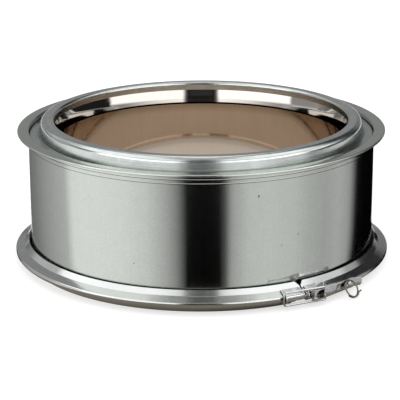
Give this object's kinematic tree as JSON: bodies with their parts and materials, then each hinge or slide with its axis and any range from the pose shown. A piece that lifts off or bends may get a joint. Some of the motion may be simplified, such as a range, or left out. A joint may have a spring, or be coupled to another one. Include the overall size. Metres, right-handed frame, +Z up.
{
  "type": "straight flue pipe",
  "caption": "Short straight length of insulated twin-wall flue pipe with a flared bright liner, flanged galvanised casing and a V-section locking band with toggle latch.",
  "frame": {"origin": "centre of the round foot that the locking band stands on", "axes": "+Z up the flue towards the male end, -Y the front, with the latch to the front right"},
  "size_m": [0.3932, 0.3932, 0.1499],
  "materials": {
    "liner_stainless": "bright polished stainless, warm",
    "galvanised_casing": "galvanised sheet, faint vertical brushing",
    "galvanised_ring": "galvanised sheet",
    "mineral_wool": "matt fibre",
    "galvanised_band": "galvanised strip",
    "latch_steel": "zinc plated pressing",
    "wire_steel": "drawn spring wire"
  },
  "bodies": {
    "pipe": {"inner_liner": "liner_stainless", "outer_shell": "galvanised_casing", "top_ring": "galvanised_ring", "bottom_ring": "galvanised_ring", "insulation": "mineral_wool", "clamp_band": "galvanised_band", "hook_plate": "latch_steel", "latch_bracket": "latch_steel", "latch_rivets": "latch_steel", "lever_pin": "latch_steel"},
    "lever": {"lever": "latch_steel", "ring_stud": "latch_steel"},
    "bail": {"bail": "wire_steel"},
    "ring": {"pull_ring": "wire_steel"}
  },
  "joints": [
    {"name": "lever_open", "type": "hinge", "parent": "pipe", "child": "lever", "pos_m": [0.11042, -0.16959, 0.012], "axis": [0, 0, -1], "range_deg": [0, 150]},
    {"name": "bail_swing", "type": "hinge", "parent": "lever", "child": "bail", "pos_m": [0.12018, -0.16425, 0.012], "axis": [0, 0, -1], "range_deg": [-145, 5]},
    {"name": "ring_swing", "type": "hinge", "parent": "lever", "child": "ring", "pos_m": [0.14491, -0.1403, 0.0159], "axis": [-0.6909, -0.7229, 0], "range_deg": [-27, 100]}
  ],
  "couplings": [
    {"joint": "bail_swing", "follows": "lever_open", "ratio": -0.95}
  ]
}
